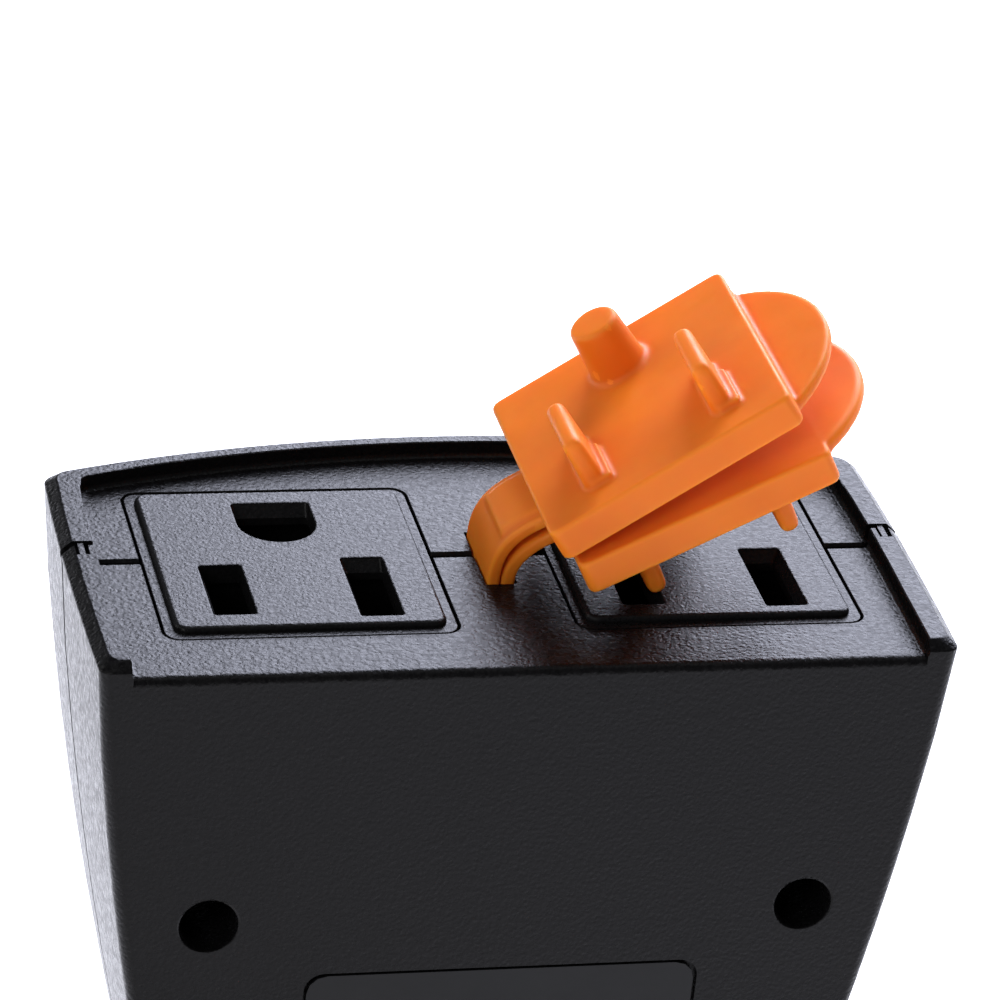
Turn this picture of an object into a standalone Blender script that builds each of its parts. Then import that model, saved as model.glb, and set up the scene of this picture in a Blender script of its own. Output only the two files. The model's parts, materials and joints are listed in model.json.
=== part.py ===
"""Two-outlet outdoor power module with tethered silicone outlet caps.

The module stands on its narrow end, with the outlets facing up.
X runs across the two outlets, Y from the rear shell to the front shell, Z up.
All sizes below are in millimetres and are scaled to metres when a mesh is made.
"""

import math

import bmesh
import bpy
from mathutils import Matrix, Vector

MM = 0.001

# Housing
FLOOR_Z = 100.0            # recessed floor around the outlets
RIM_HEIGHT = 1.54
HALF_WIDTH = 37.6          # at the floor
SIDE_BULGE = 0.35          # extra half width at the seam
HALF_DEPTH = 20.62
TAPER = 0.089              # half width lost per mm below the floor
TAPER_CURVE = 0.0014
REAR_DRAFT = 0.028
FRONT_CURVE = 0.0004
FRONT_SAGITTA = 0.158      # front arc's drop, as a share of the half width
WALL = 2.2
FLOOR_THICKNESS = 2.5
SEAM = 0.3                 # half the gap between the two shells
GAP = 0.3                  # between pieces that touch

# Outlets
OUTLET_X = 18.05
BLADE_Y = -6.30
BLADE_X = 6.35
GROUND_Y = 5.60
SLOT_HALF_WIDTH = 1.92
SLOT_HALF_LENGTH = (4.42, 5.23)     # line side, neutral side
GROUND_HALF_WIDTH = 3.54
GROUND_FLAT_Y = 9.36
INSERT_HALF_WIDTH = 12.97
INSERT_Y = (-14.02, 12.71)
FACE_HEIGHT = 0.55
FACE_PLATE = 1.85

# Outlet caps, in the frame of a closed cap: x away from the strap, y towards the ground pin, z up
CAP_HALF_LENGTH = 11.9
CAP_Y = (-7.26, 17.5)
CAP_THICKNESS = 3.2
CAP_CLOSED_X = 17.208
CAP_CLOSED_Z = FLOOR_Z + 0.85
LAYER = 1.3                # tab thickness
TAB_REACH = 5.9
TAB_HALF_WIDTH = 10.6
PIN_LENGTH = 4.9
RIGHT_POLE = (1.203, FLOOR_Z + 3.525)
RIGHT_OPEN = math.radians(27.018)
LEFT_POLE = (-0.552, FLOOR_Z + 3.85)
LEFT_OPEN = math.radians(146.348)
STRAP_Y = (-5.45, 3.85)
STRAP_LEAN = -1.5
LEFT_STRAP = 1.15
RIGHT_STRAP = 0.95
SLOT_X = (-1.5, 1.7)

# Case screws: x, z and the boss radius
CASE_SCREWS = ((26.6, 74.9, 4.2), (12.5, 18.0, 3.8))
WELL_RADIUS = 2.5
WELL_FLOOR_Y = -5.3

# Electronics
BOARD_Y = (1.0, 2.6)
BUTTON_Z = 56.0
LIGHT_Z = 71.0


def clear_scene():
    for item in list(bpy.data.objects):
        bpy.data.objects.remove(item, do_unlink=True)


def collection(name):
    made = bpy.data.collections.new(name)
    bpy.context.scene.collection.children.link(made)
    return made


clear_scene()
PARTS = collection("outdoor_power_module")
TOOLS = collection("cutters")


def material(name, color, roughness, metallic=0.0):
    made = bpy.data.materials.new(name)
    made.use_nodes = True
    shader = made.node_tree.nodes["Principled BSDF"]
    shader.inputs["Base Color"].default_value = (*color, 1.0)
    shader.inputs["Roughness"].default_value = roughness
    shader.inputs["Metallic"].default_value = metallic
    return made


BLACK = material("black_shell", (0.012, 0.012, 0.013), 0.45)
INSERT_BLACK = material("black_insert", (0.014, 0.014, 0.016), 0.40)
ORANGE = material("orange_silicone", (0.87, 0.21, 0.015), 0.35)
BRASS = material("brass", (0.72, 0.52, 0.22), 0.30, 1.0)
STEEL = material("zinc_steel", (0.55, 0.56, 0.58), 0.35, 1.0)
SOLDER_MASK = material("board_green", (0.02, 0.16, 0.06), 0.5)
RELAY_BLUE = material("relay_blue", (0.03, 0.12, 0.42), 0.4)
DARK_PLASTIC = material("dark_plastic", (0.03, 0.03, 0.03), 0.6)
IVORY = material("ivory_plastic", (0.72, 0.70, 0.62), 0.5)
RUBBER = material("black_rubber", (0.02, 0.02, 0.02), 0.8)
LABEL = material("label_film", (0.03, 0.03, 0.032), 0.3)
LENS = material("lens_clear", (0.8, 0.85, 0.85), 0.15)
WIRE_BLACK = material("wire_black", (0.02, 0.02, 0.02), 0.5)
WIRE_WHITE = material("wire_white", (0.8, 0.8, 0.78), 0.5)
WIRE_GREEN = material("wire_green", (0.03, 0.30, 0.08), 0.5)


# Modelling tools

def finish(name, bm, paint=None, origin=(0.0, 0.0, 0.0)):
    """Make an object from a mesh in millimetres. Without a material it is a cutter."""
    bmesh.ops.translate(bm, vec=-Vector(origin), verts=bm.verts)
    bmesh.ops.scale(bm, vec=(MM, MM, MM), verts=bm.verts)
    bmesh.ops.recalc_face_normals(bm, faces=bm.faces)
    mesh = bpy.data.meshes.new(name)
    bm.to_mesh(mesh)
    bm.free()
    made = bpy.data.objects.new(name, mesh)
    made.location = Vector(origin) * MM
    if paint is None:
        TOOLS.objects.link(made)
        made.hide_render = True
        made.display_type = "WIRE"
    else:
        PARTS.objects.link(made)
        mesh.materials.append(paint)
        mesh.shade_smooth()
        mesh.set_sharp_from_angle(angle=math.radians(35))
    return made


def add_box(bm, low, high, tilt=0.0):
    size = [b - a for a, b in zip(low, high)]
    centre = Vector([(a + b) / 2 for a, b in zip(low, high)])
    matrix = Matrix.Translation(centre) @ Matrix.Rotation(tilt, 4, "X") @ Matrix.Diagonal((*size, 1))
    bmesh.ops.create_cube(bm, size=1.0, matrix=matrix)


def box(name, low, high, paint=None, tilt=0.0, bevel=0.0):
    bm = bmesh.new()
    add_box(bm, low, high, tilt)
    if bevel:
        bmesh.ops.bevel(bm, geom=bm.edges[:], offset=bevel, segments=2, profile=0.5, affect="EDGES")
    return finish(name, bm, paint)


def cylinder(name, start, end, radius, paint=None, end_radius=None, sides=28):
    bm = bmesh.new()
    start, end = Vector(start), Vector(end)
    axis = end - start
    turn = Vector((0, 0, 1)).rotation_difference(axis).to_matrix().to_4x4()
    bmesh.ops.create_cone(
        bm, cap_ends=True, segments=sides, radius1=radius,
        radius2=radius if end_radius is None else end_radius, depth=axis.length,
        matrix=Matrix.Translation((start + end) / 2) @ turn)
    return finish(name, bm, paint)


def loft(name, rings, paint=None, origin=(0.0, 0.0, 0.0)):
    """A closed solid through rings with the same number of points."""
    bm = bmesh.new()
    levels = [[bm.verts.new(point) for point in ring] for ring in rings]
    count = len(levels[0])
    for lower, upper in zip(levels, levels[1:]):
        for i in range(count):
            j = (i + 1) % count
            bm.faces.new((lower[i], lower[j], upper[j], upper[i]))
    bm.faces.new(list(reversed(levels[0])))
    bm.faces.new(levels[-1])
    return finish(name, bm, paint, origin)


def extruded(name, outline, low, high, axis="Z", paint=None):
    """An outline pushed along one axis. For Y the outline holds x and z."""
    def place(point, level):
        return (point[0], point[1], level) if axis == "Z" else (point[0], level, point[1])
    return loft(name, [[place(p, level) for p in outline] for level in (low, high)], paint)


def boolean(target, operation, tool):
    modifier = target.modifiers.new(tool.name, "BOOLEAN")
    modifier.operation = operation
    modifier.solver = "EXACT"
    modifier.object = tool


def join(target, *tools):
    for tool in tools:
        boolean(target, "UNION", tool)


def cut(target, *tools):
    for tool in tools:
        boolean(target, "DIFFERENCE", tool)


def rounded(corners, segments=3):
    """An outline whose corners, given as x, y and radius, are turned into arcs."""
    outline = []
    for i, (x, y, radius) in enumerate(corners):
        here = Vector((x, y))
        if not radius:
            outline.append(tuple(here))
            continue
        before = (Vector(corners[i - 1][:2]) - here).normalized()
        after = (Vector(corners[(i + 1) % len(corners)][:2]) - here).normalized()
        half = before.angle(after) / 2
        centre = here + (before + after).normalized() * (radius / math.sin(half))
        first = here + before * (radius / math.tan(half)) - centre
        last = here + after * (radius / math.tan(half)) - centre
        turn = first.angle_signed(last)
        for k in range(segments + 1):
            spot = first.copy()
            spot.rotate(Matrix.Rotation(-turn * k / segments, 2))
            outline.append(tuple(centre + spot))
    return outline


def rectangle(x, y, radius, segments=3):
    """x and y are each a low and a high value."""
    return rounded([(x[0], y[0], radius), (x[1], y[0], radius),
                    (x[1], y[1], radius), (x[0], y[1], radius)], segments)


# Housing

def half_width(z):
    drop = FLOOR_Z - z
    return HALF_WIDTH - TAPER * abs(drop) - TAPER_CURVE * drop * drop


def rear_y(z):
    return -HALF_DEPTH + REAR_DRAFT * (FLOOR_Z - z)


def front_y(z):
    drop = max(FLOOR_Z - z, 0.0)
    return HALF_DEPTH - REAR_DRAFT * drop - FRONT_CURVE * drop * drop


def front_at(x, z, inset=0.0):
    """Depth of the front arc away from the middle."""
    wide = half_width(z) - inset
    sagitta = FRONT_SAGITTA * wide
    radius = (wide * wide + sagitta * sagitta) / (2 * sagitta)
    return front_y(z) - inset - radius + math.sqrt(radius * radius - x * x)


def section(z, inset, corner=1.2):
    """The housing's outline at one height: flat rear, bulging sides and a front arc."""
    wide = half_width(z) - inset
    side_y = front_at(wide, z, inset)
    arc = [(x, front_at(x, z, inset), 0) for x in (wide * k / 5 for k in range(4, -5, -1))]
    corners = [(-wide, rear_y(z) + inset, corner), (wide, rear_y(z) + inset, corner),
               (wide + SIDE_BULGE, 0.0, 0), (wide, side_y, 1.2), *arc,
               (-wide, side_y, 1.2), (-wide - SIDE_BULGE, 0.0, 0)]
    return [(x, y, z) for x, y in rounded(corners)]


BODY_LEVELS = ((0.0, 1.2), (0.4, 0.45), (1.4, 0.0), (15, 0.0), (30, 0.0), (45, 0.0), (60, 0.0),
               (72, 0.0), (84, 0.0), (92, 0.0), (FLOOR_Z + 0.64, 0.0), (FLOOR_Z + 1.2, 0.3),
               (FLOOR_Z + RIM_HEIGHT, 0.9))
RIM_INNER = 2.9            # rim's inner edge at the sides, in from the outer surface
RIM_FRONT = 2.1            # the same at the front arc


def body_solid(name, paint=None):
    return loft(name, [section(z, inset) for z, inset in BODY_LEVELS], paint)


def cavity():
    levels = (2.5, 15, 30, 45, 60, 72, 84, FLOOR_Z - FLOOR_THICKNESS)
    return loft("cavity_cutter", [section(z, WALL, 0.8) for z in levels])


def floor_recess():
    """Open at the rear edge, walled by the rim on the other three sides."""
    outline = []
    for x, y, _ in section(FLOOR_Z, RIM_INNER, 0.8):
        shift = -12 if y < -15 else RIM_INNER - RIM_FRONT if y > 12 else 0
        outline.append((x, y + shift))
    return extruded("recess_cutter", outline, FLOOR_Z, FLOOR_Z + 4)


def insert_opening(side):
    x = side * OUTLET_X
    outline = rectangle((x - INSERT_HALF_WIDTH, x + INSERT_HALF_WIDTH), INSERT_Y, 1.5)
    return extruded(f"insert_opening_{side}", outline, FLOOR_Z - 6, FLOOR_Z + 1)


def case_screw_places():
    return [(f"{level}_{name}", side * x, z, boss)
            for level, (x, z, boss) in zip(("upper", "lower"), CASE_SCREWS)
            for name, side in (("left", -1), ("right", 1))]


def make_shells():
    openings = [insert_opening(side) for side in (-1, 1)]
    slot = box("strap_slot_cutter", (SLOT_X[0], STRAP_Y[0] - GAP, FLOOR_Z - 4),
               (SLOT_X[1], STRAP_Y[1] + GAP, FLOOR_Z + 1))
    gland_hole = cylinder("gland_hole_cutter", (0, 0, -1), (0, 0, 4), 5.0)
    hollow, recess = cavity(), floor_recess()
    reach = 60
    halves = {
        "rear_shell": box("front_half_cutter", (-reach, -SEAM, -5), (reach, reach, 110)),
        "front_shell": box("rear_half_cutter", (-reach, -reach, -5), (reach, SEAM, 110)),
    }
    for name, other_half in halves.items():
        shell = body_solid(name, BLACK)
        rear = name == "rear_shell"
        cut(shell, hollow, recess, *openings, slot, gland_hole)
        for place, x, z, boss in case_screw_places():
            wall = rear_y(z) + 1.0 if rear else front_at(abs(x) + boss, z) - 1.0
            join(shell, cylinder(f"{name}_boss_{place}", (x, wall, z), (x, 0, z), boss))
        if rear:
            add_rear_details(shell)
        else:
            add_front_details(shell)
        cut(shell, other_half)


def add_rear_details(shell):
    for place, x, z, _ in case_screw_places():
        cut(shell,
            cylinder(f"well_{place}", (x, -30, z), (x, WELL_FLOOR_Y, z), WELL_RADIUS),
            cylinder(f"rear_hole_{place}", (x, -10, z), (x, 5, z), 1.7, sides=16))
    for side in (-1, 1):
        x = side * CLAMP_SCREW_X
        foot = rear_y(CLAMP_Z) + 1
        join(shell, cylinder(f"clamp_post_{side}", (x, foot, CLAMP_Z), (x, -3.7, CLAMP_Z), 2.4))
        cut(shell, cylinder(f"clamp_post_hole_{side}", (x, -12, CLAMP_Z), (x, 0, CLAMP_Z), 1.5,
                            sides=16))
    cut(shell, label_block("label_recess_cutter", LABEL_X, LABEL_Z, -1.0, 0.6))


def add_front_details(shell):
    for place, x, z, _ in case_screw_places():
        cut(shell, cylinder(f"front_hole_{place}", (x, -5, z), (x, 12, z), 1.7, sides=16))
    for side in (-1, 1):
        x, z = side * BOARD_SCREW[0], BOARD_SCREW[1]
        wall = front_at(abs(x), z) - 1.2
        join(shell, cylinder(f"board_post_{side}", (x, BOARD_Y[1] + GAP, z), (x, wall, z), 2.6))
        cut(shell, cylinder(f"board_post_hole_{side}", (x, 0, z), (x, 10, z), 1.3, sides=16))
    cut(shell, cylinder("button_hole_cutter", (0, 10, BUTTON_Z), (0, 30, BUTTON_Z), 5.3, sides=36),
        cylinder("light_hole_cutter", (0, 10, LIGHT_Z), (0, 30, LIGHT_Z), 1.8, sides=20))


# The rating label lies in a shallow recess of the rear face

LABEL_X = (-17.75, 17.75)
LABEL_Z = (30.0, 69.5)


def label_block(name, x, z, out, deep, paint=None):
    """A slab parallel to the drafted rear face, from out to deep below its surface."""
    outline = rectangle(x, z, 1.8)
    rings = []
    for depth in (out, deep):
        rings.append([(px, rear_y(pz) + depth, pz) for px, pz in outline])
    return loft(name, rings, paint)


def make_label():
    label_block("rating_label", (LABEL_X[0] + GAP, LABEL_X[1] - GAP),
                (LABEL_Z[0] + GAP, LABEL_Z[1] - GAP), 0.05, 0.3, LABEL)


def make_case_screws():
    for place, x, z, _ in case_screw_places():
        screw = cylinder(f"case_screw_{place}", (x, WELL_FLOOR_Y - GAP - 2.2, z),
                         (x, WELL_FLOOR_Y - GAP, z), 2.2, STEEL)
        join(screw, cylinder(f"shank_{place}", (x, WELL_FLOOR_Y - 1, z), (x, 10.5, z), 1.35, sides=16))
        head_y = WELL_FLOOR_Y - GAP - 2.2
        for k, (dx, dz) in enumerate(((1.4, 0.28), (0.28, 1.4))):
            cut(screw, box(f"cross_{place}_{k}", (x - dx, head_y - 1, z - dz),
                           (x + dx, head_y + 1.1, z + dz)))


def make_gaskets():
    """A seal strip inside each side of the seam."""
    levels = [6, 20, 35, 50, 65, 80, 93]
    for name, side in (("seam_gasket_left", -1), ("seam_gasket_right", 1)):
        def edge(inset):
            return [(side * (half_width(z) + SIDE_BULGE - WALL - inset), z) for z in levels]
        extruded(name, edge(GAP) + edge(GAP + 0.8)[::-1], -0.9, 0.9, "Y", RUBBER)


# Outlets

def ground_outline(x):
    """Round towards the blades, flat on the far side."""
    radius, count = GROUND_HALF_WIDTH, 12
    near = [(x + radius * math.cos(a), GROUND_Y + radius * math.sin(a))
            for a in (math.pi + math.pi * k / count for k in range(count + 1))]
    return near + [(x + radius, GROUND_FLAT_Y), (x - radius, GROUND_FLAT_Y)]


def make_insert(name, side):
    x = side * OUTLET_X
    half = INSERT_HALF_WIDTH - GAP
    y = (INSERT_Y[0] + GAP, INSERT_Y[1] - GAP)
    insert = extruded(name, rectangle((x - half, x + half), y, 1.3), FLOOR_Z - 16, FLOOR_Z - 0.1,
                      paint=INSERT_BLACK)
    face = rectangle((x - half + 0.8, x + half - 0.8), (y[0] + 0.8, y[1] - 0.8), 1.0)
    join(insert,
         extruded(f"{name}_face", face, FLOOR_Z - 1, FLOOR_Z + FACE_HEIGHT),
         box(f"{name}_lip", (x - 13.9, -14.9, FLOOR_Z - 5.1), (x + 13.9, 10.5, FLOOR_Z - 2.8)))
    plate_under = FLOOR_Z + FACE_HEIGHT - FACE_PLATE
    for k, long in enumerate(SLOT_HALF_LENGTH):
        slot_x = x + (k * 2 - 1) * BLADE_X
        cut(insert,
            box(f"{name}_slot_{k}", (slot_x - SLOT_HALF_WIDTH, BLADE_Y - long, FLOOR_Z - 5),
                (slot_x + SLOT_HALF_WIDTH, BLADE_Y + long, FLOOR_Z + 2)),
            box(f"{name}_pocket_{k}", (slot_x - 3.0, BLADE_Y - 5.7, FLOOR_Z - 20),
                (slot_x + 3.0, BLADE_Y + 5.6, plate_under)))
    cut(insert,
        extruded(f"{name}_ground", ground_outline(x), FLOOR_Z - 5, FLOOR_Z + 2),
        box(f"{name}_ground_pocket", (x - 5, 0.4, FLOOR_Z - 20), (x + 5, 10.9, plate_under)))


CONTACT_TOP = FLOOR_Z - 5.6
BUS_Z = FLOOR_Z - 18.0


def clip(name, x, y, opening, wide, base_z, paint=None):
    """A U-shaped spring contact: two fingers that stand up beside the plug's pin."""
    sheet, half = 0.6, opening / 2
    outline = [(x - half - sheet, base_z), (x + half + sheet, base_z), (x + half + sheet, CONTACT_TOP),
               (x + half, CONTACT_TOP), (x + half, base_z + 0.8), (x - half, base_z + 0.8),
               (x - half, CONTACT_TOP), (x - half - sheet, CONTACT_TOP)]
    return extruded(name, outline, y - wide / 2, y + wide / 2, "Y", paint)


def make_contacts():
    left, right = -OUTLET_X, OUTLET_X
    neutral = box("neutral_bus", (left + BLADE_X - 2, BLADE_Y - 3, BUS_Z),
                  (right + BLADE_X + 2, BLADE_Y + 3, BUS_Z + 0.8), BRASS)
    ground = box("ground_bus", (left - 3, GROUND_Y - 3, BUS_Z),
                 (right + 3, GROUND_Y + 3, BUS_Z + 0.8), BRASS)
    for side, x in (("left", left), ("right", right)):
        join(neutral, clip(f"neutral_clip_{side}", x + BLADE_X, BLADE_Y, 2.2, 8.0, BUS_Z + 0.2))
        join(ground, clip(f"ground_clip_{side}", x, GROUND_Y, 4.6, 5.0, BUS_Z + 0.2))
        hot = clip(f"line_contact_{side}", x - BLADE_X, BLADE_Y, 2.2, 7.0, BUS_Z + 1.6, BRASS)
        low, high = x - BLADE_X - 1.2, x - BLADE_X + 1.2
        join(hot, box(f"line_leg_{side}", (low, -11.4, BUS_Z - 2.4), (high, -10.4, BUS_Z + 2.4)),
             box(f"line_foot_{side}", (low, -11.4, BUS_Z + 1.6), (high, BLADE_Y, BUS_Z + 2.4)))
    join(ground, box("ground_tab", (-2.5, GROUND_Y, BUS_Z), (2.5, 13.0, BUS_Z + 0.8)),
         box("ground_leg", (-2.5, 12.2, BUS_Z - 8), (2.5, 13.0, BUS_Z + 0.8)))
    carrier = box("contact_carrier", (-29, -10.0, BUS_Z - 2.4), (29, 11.8, BUS_Z - GAP), IVORY)
    for k, x in enumerate((left - BLADE_X, right - BLADE_X)):
        cut(carrier, box(f"carrier_notch_{k}", (x - 1.8, -12, BUS_Z - 4), (x + 1.8, -9.4, BUS_Z + 1)))


# Silicone caps and their straps

def tab_outline():
    """A tongue with a circular end, past the edge of the cap's block."""
    reach, half = TAB_REACH, TAB_HALF_WIDTH
    radius = (half * half + reach * reach) / (2 * reach)
    middle = sum(CAP_Y) / 2
    swing = math.asin(half / radius)
    count = 16
    arc = [(CAP_HALF_LENGTH + reach - radius + radius * math.cos(a), middle + radius * math.sin(a))
           for a in (-swing + 2 * swing * k / count for k in range(count + 1))]
    return arc + [(CAP_HALF_LENGTH - 2, middle + half), (CAP_HALF_LENGTH - 2, middle - half)]


def pin_rings(x):
    """A tapered blade pin with a rounded tip."""
    rings = []
    for z, half_x, half_y, radius in ((0.6, 1.0, 4.15, 0.5), (-PIN_LENGTH + 0.6, 0.86, 3.95, 0.45),
                                      (-PIN_LENGTH + 0.15, 0.65, 3.7, 0.4), (-PIN_LENGTH, 0.4, 3.4, 0.25)):
        outline = rectangle((x - half_x, x + half_x), (-half_y, half_y), radius, 2)
        rings.append([(px, py, z) for px, py in outline])
    return rings


def make_cap(name, side, pole, angle):
    """The closed cap, mirrored for the left side and turned open about its pole."""
    offset = Vector((CAP_CLOSED_X - side * pole[0], BLADE_Y, CAP_CLOSED_Z - pole[1]))

    def solid(label, rings, paint=None):
        placed = [[(side * (p[0] + offset.x), p[1] + offset.y, p[2] + offset.z) for p in ring]
                  for ring in rings]
        made = loft(f"{name}{label}", placed, paint)
        made.location = (pole[0] * MM, 0, pole[1] * MM)
        made.rotation_euler = (0, -angle, 0)
        return made

    def slab(label, outline, low, high, paint=None):
        return solid(label, [[(px, py, z) for px, py in outline] for z in (low, high)], paint)

    block = rectangle((-CAP_HALF_LENGTH, CAP_HALF_LENGTH), CAP_Y, 0.9)
    inner = rectangle((-CAP_HALF_LENGTH + 0.35, CAP_HALF_LENGTH - 0.35),
                      (CAP_Y[0] + 0.35, CAP_Y[1] - 0.35), 0.6)
    cap = solid("", [[(px, py, z) for px, py in outline] for outline, z in
                     ((inner, 0.0), (block, 0.35), (block, CAP_THICKNESS - 0.35), (inner, CAP_THICKNESS))],
                ORANGE)
    join(cap, slab("_tab", tab_outline(), CAP_THICKNESS - LAYER, CAP_THICKNESS - 0.01))
    for k in (-1, 1):
        shoulder = rectangle((k * BLADE_X - 1.03, k * BLADE_X + 1.65), (-4.3, 1.6), 0.3, 1)
        join(cap, solid(f"_pin_{k}", pin_rings(k * BLADE_X)),
             slab(f"_shoulder_{k}", shoulder, -0.5, 0.6))
    ground_y = GROUND_Y - BLADE_Y
    circles = ((0.6, 2.75), (-0.35, 2.68), (-PIN_LENGTH - 0.1, 2.27), (-PIN_LENGTH - 0.35, 2.0))
    join(cap, solid("_ground_pin", [
        [(r * math.cos(a), ground_y + r * math.sin(a), z) for a in (math.tau * k / 28 for k in range(28))]
        for z, r in circles]))


def bezier(points, t):
    a, b, c, d = (Vector(p) for p in points)
    s = 1 - t
    return a * s ** 3 + b * 3 * s * s * t + c * 3 * s * t * t + d * t ** 3


# x, and height above the floor, of each strap's control points
LEFT_PATH = ((-0.58, -0.2), (-0.78, 3.4), (0.6, 5.1), (2.94, 6.65))
RIGHT_PATH = ((0.85, -0.2), (0.70, 2.2), (2.3, 4.1), (4.58, 5.28))


def make_strap(name, path, thickness, outward):
    """A flat band from its foot under the floor, up through the slot and over to the cap."""
    x0 = path[0][0]
    line = [Vector((x0, -8.5)), Vector((x0, -5.0)), Vector((x0, -2.0))]
    line += [bezier(path, k / 12) for k in range(13)]
    rings = []
    for i, spot in enumerate(line):
        ahead, back = line[min(i + 1, len(line) - 1)], line[max(i - 1, 0)]
        normal = Vector((-(ahead - back).y, (ahead - back).x)).normalized() * thickness / 2
        lean = STRAP_LEAN * max(i - 3, 0) / 12
        low, high = STRAP_Y[0] + lean, STRAP_Y[1] + lean
        one, two = spot + normal, spot - normal
        rings.append([(one.x, low, FLOOR_Z + one.y), (two.x, low, FLOOR_Z + two.y),
                      (two.x, high, FLOOR_Z + two.y), (one.x, high, FLOOR_Z + one.y)])
    strap = loft(name, rings, ORANGE)
    foot_x = sorted((x0 - outward * (thickness / 2 - 0.15), x0 + outward * 2.2))
    join(strap, box(f"{name}_foot", (foot_x[0], STRAP_Y[0] - 0.5, FLOOR_Z - 9.2),
                    (foot_x[1], STRAP_Y[1] + 0.5, FLOOR_Z - 7.4)))


def make_strap_anchor():
    anchor = box("strap_anchor", (-3.7, -9.0, FLOOR_Z - 7.1), (3.7, 7.4, FLOOR_Z - 2.8), DARK_PLASTIC)
    cut(anchor, box("anchor_slot_cutter", (SLOT_X[0], STRAP_Y[0] - GAP, FLOOR_Z - 8),
                    (SLOT_X[1], STRAP_Y[1] + GAP, FLOOR_Z - 2)))


# Cord entry at the narrow end

CLAMP_Z = 17.0
CLAMP_SCREW_X = 5.9


def make_cord_entry():
    gland = cylinder("cord_gland", (0, 0, 0.3), (0, 0, 12), 4.7, RUBBER)
    join(gland, cylinder("gland_flange", (0, 0, 2.8), (0, 0, 5.0), 6.6))
    cut(gland, cylinder("gland_bore_cutter", (0, 0, -1), (0, 0, 14), 3.2))
    clamp = box("cord_clamp", (-8.2, -3.4, CLAMP_Z - 3), (8.2, 1.2, CLAMP_Z + 3), DARK_PLASTIC)
    cut(clamp, cylinder("clamp_groove_cutter", (0, -3.4, 0), (0, -3.4, 40), 3.0))
    for name, side in (("left", -1), ("right", 1)):
        x = side * CLAMP_SCREW_X
        cut(clamp, cylinder(f"clamp_hole_{name}", (x, -6, CLAMP_Z), (x, 4, CLAMP_Z), 1.5, sides=16))
        screw = cylinder(f"clamp_screw_{name}", (x, 1.5, CLAMP_Z), (x, 3.0, CLAMP_Z), 2.1, STEEL, sides=20)
        join(screw, cylinder(f"clamp_shank_{name}", (x, -9, CLAMP_Z), (x, 2, CLAMP_Z), 1.15, sides=14))


# Circuit board and what it carries

BOARD_SCREW = (15.3, 44.0)


def make_board():
    outline = [(-17, 26), (17, 26), (21.5, 74), (-21.5, 74)]
    board = extruded("circuit_board", outline, *BOARD_Y, "Y", SOLDER_MASK)
    for name, side in (("left", -1), ("right", 1)):
        x, z = side * BOARD_SCREW[0], BOARD_SCREW[1]
        cut(board, cylinder(f"board_hole_{name}", (x, -2, z), (x, 5, z), 1.5, sides=16))
        screw = cylinder(f"board_screw_{name}", (x, -0.9, z), (x, BOARD_Y[0] - GAP, z), 2.2, STEEL,
                         sides=20)
        join(screw, cylinder(f"board_shank_{name}", (x, 0, z), (x, 8.5, z), 1.0, sides=14))


def make_electronics():
    rear, front = BOARD_Y[0] - GAP, BOARD_Y[1] + GAP
    for name, side in (("relay_left", -1), ("relay_right", 1)):
        x = side * 11.2
        box(name, (x - 7.4, rear - 12.0, 50.5), (x + 7.4, rear, 69.5), RELAY_BLUE, bevel=0.4)
    box("terminal_block", (-11, rear - 9, 29), (11, rear, 38), IVORY, bevel=0.4)
    box("transformer", (6.5, front, 48), (19, 12.2, 62), DARK_PLASTIC, bevel=0.5)
    cylinder("smoothing_capacitor", (9.5, front + 5.0, 27.5), (9.5, front + 5.0, 40.5), 4.8, DARK_PLASTIC)
    box("radio_module", (-14.5, front, 28), (-3.5, front + 2.2, 40.5), STEEL, bevel=0.2)
    cylinder("line_fuse", (-12, front + 2.7, 51), (-12, front + 2.7, 64), 2.6, IVORY, sides=20)
    box("status_led", (-1.5, front, LIGHT_Z - 1.5), (1.5, front + 1.8, LIGHT_Z + 1.5), LENS)
    switch = box("tact_switch", (-3, front, BUTTON_Z - 3), (3, 9.0, BUTTON_Z + 3), DARK_PLASTIC)
    join(switch, cylinder("switch_plunger", (0, 8, BUTTON_Z), (0, 12.2, BUTTON_Z), 1.7, sides=20))


def make_front_controls():
    face = front_y(BUTTON_Z) + 0.7
    origin = (0.0, face, BUTTON_Z)
    bm = bmesh.new()
    turn = Matrix.Rotation(math.radians(-90), 4, "X")
    bmesh.ops.create_cone(bm, cap_ends=True, segments=36, radius1=5.0, radius2=5.0, depth=face - 13.5,
                          matrix=Matrix.Translation((0, (face + 13.5) / 2, BUTTON_Z)) @ turn)
    button = finish("power_button", bm, DARK_PLASTIC, origin)
    join(button, cylinder("button_flange", (0, 13.5, BUTTON_Z), (0, 14.7, BUTTON_Z), 6.2))
    lens_face = front_y(LIGHT_Z) + 0.15
    pipe = cylinder("light_pipe", (0, 5.2, LIGHT_Z), (0, lens_face, LIGHT_Z), 1.5, LENS, sides=20)
    join(pipe, cylinder("light_pipe_flange", (0, 14.8, LIGHT_Z), (0, 16.4, LIGHT_Z), 2.6, sides=20))


WIRE_RADIUS = 0.95


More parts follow.
